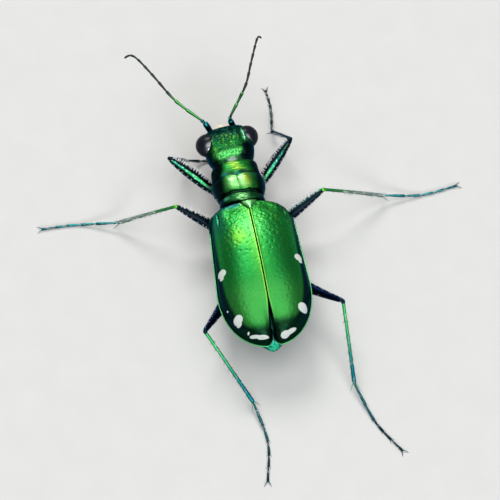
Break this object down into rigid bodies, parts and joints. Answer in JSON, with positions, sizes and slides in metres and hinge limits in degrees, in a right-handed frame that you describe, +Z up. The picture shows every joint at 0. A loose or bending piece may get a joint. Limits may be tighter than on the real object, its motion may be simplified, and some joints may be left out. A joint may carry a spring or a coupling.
{
  "type": "six-spotted green tiger beetle",
  "caption": "Life-size still model of a green tiger beetle standing on its feet, legs spread and feelers raised, with white spots along the rear of its wing cases.",
  "frame": {"origin": "on the ground, under the middle of the whole beetle's box", "axes": "+Z up; the beetle faces -Y and its left side is at +X, so +Y runs from head to tail along the long way of the box"},
  "size_m": [0.0222, 0.023, 0.0059],
  "materials": {
    "green_shell": "metallic emerald green, finely pitted, glossy",
    "dark_shell": "metallic blue-black to teal, glossy",
    "teal_shell": "metallic teal green, glossy",
    "feeler": "metallic green at the root, dull dark brown outwards",
    "eye": "near-black, softly glossy, finely faceted",
    "pale_lip": "cream, satin; the jaw tips are dark",
    "brown_mouth": "dark brown, satin"
  },
  "bodies": {
    "root": {"head": "green_shell", "eye_left": "eye", "eye_right": "eye", "labrum": "pale_lip", "labium": "brown_mouth", "mandible_left": "pale_lip", "mandible_right": "pale_lip", "maxilla_left": "brown_mouth", "maxilla_right": "brown_mouth", "antenna_left": "feeler", "antenna_right": "feeler", "prothorax": "green_shell", "scutellum": "green_shell", "pterothorax": "dark_shell", "abdomen": "dark_shell", "elytron_left": "green_shell", "elytron_right": "green_shell", "coxa_front_left": "dark_shell", "femur_front_left": "dark_shell", "tibia_front_left": "teal_shell", "tarsus_front_left": "teal_shell", "coxa_front_right": "dark_shell", "femur_front_right": "dark_shell", "tibia_front_right": "teal_shell", "tarsus_front_right": "teal_shell", "coxa_mid_left": "dark_shell", "femur_mid_left": "dark_shell", "tibia_mid_left": "teal_shell", "tarsus_mid_left": "teal_shell", "coxa_mid_right": "dark_shell", "femur_mid_right": "dark_shell", "tibia_mid_right": "teal_shell", "tarsus_mid_right": "teal_shell", "coxa_hind_left": "dark_shell", "femur_hind_left": "dark_shell", "tibia_hind_left": "teal_shell", "tarsus_hind_left": "teal_shell", "coxa_hind_right": "dark_shell", "femur_hind_right": "dark_shell", "tibia_hind_right": "teal_shell", "tarsus_hind_right": "teal_shell"}
  },
  "joints": []
}
